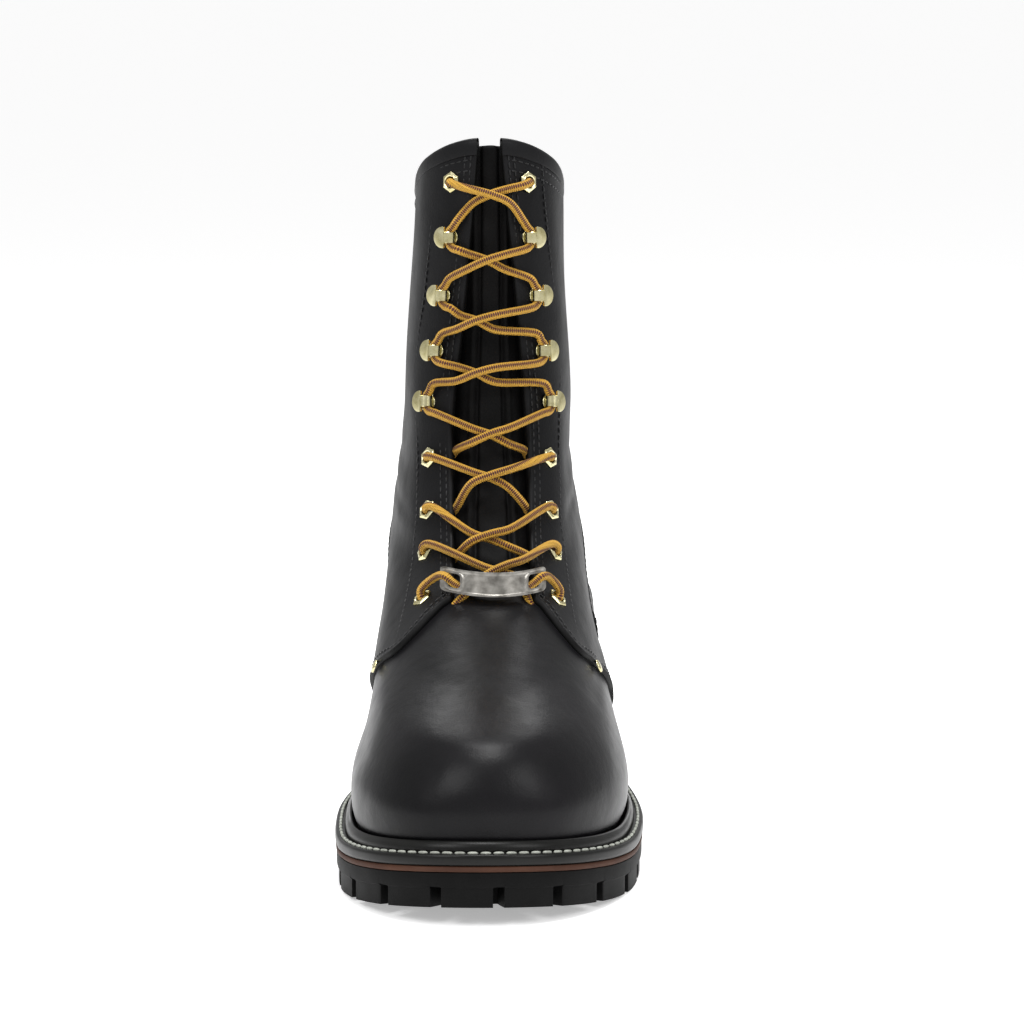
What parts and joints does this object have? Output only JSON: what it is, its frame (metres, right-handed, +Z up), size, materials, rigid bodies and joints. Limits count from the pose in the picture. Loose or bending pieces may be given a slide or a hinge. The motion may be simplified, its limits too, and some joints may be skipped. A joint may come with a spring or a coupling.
{
  "type": "logger boot",
  "caption": "Tall lace-up leather logger boot, left foot: rounded safety toe, welted lugged sole, raised heel, eyelets and speed hooks.",
  "frame": {"origin": "on the floor under the middle of the sole's outline", "axes": "+Z up, toe towards -Y, heel towards +Y, big toe side towards -X"},
  "size_m": [0.1184, 0.3119, 0.2764],
  "materials": {
    "leather": "smooth black oiled leather, low sheen on the shaft, polished on the toe",
    "tongue_leather": "soft dull black leather",
    "insole_board": "tan insole board",
    "welt": "black welt, satin",
    "midsole": "brown slip sole, dull",
    "rubber": "black lugged rubber, dull",
    "brass": "pale polished brass",
    "silver": "antique silver, darkened edges",
    "lace": "round braid, gold with maroon stripes"
  },
  "bodies": {
    "root": {"eyelet_inner_1": "brass", "eyelet_inner_6": "brass", "eyelet_inner_7": "brass", "eyelet_inner_8": "brass", "eyelet_inner_9": "brass", "eyelet_outer_1": "brass", "eyelet_outer_6": "brass", "eyelet_outer_7": "brass", "eyelet_outer_8": "brass", "eyelet_outer_9": "brass", "heel": "rubber", "heel_lift": "rubber", "hook_inner_2": "brass", "hook_inner_3": "brass", "hook_inner_4": "brass", "hook_inner_5": "brass", "hook_outer_2": "brass", "hook_outer_3": "brass", "hook_outer_4": "brass", "hook_outer_5": "brass", "insole": "insole_board", "lace_bar": "lace", "lace_crossing_2_1": "lace", "lace_crossing_3_2": "lace", "lace_crossing_4_3": "lace", "lace_crossing_5_4": "lace", "lace_crossing_6_5": "lace", "lace_crossing_7_6": "lace", "lace_crossing_8_7": "lace", "lace_crossing_9_8": "lace", "lace_tag": "silver", "midsole": "midsole", "outsole": "rubber", "rivet_inner": "brass", "rivet_outer": "brass", "tongue": "tongue_leather", "upper": "leather", "welt": "welt"}
  },
  "joints": []
}
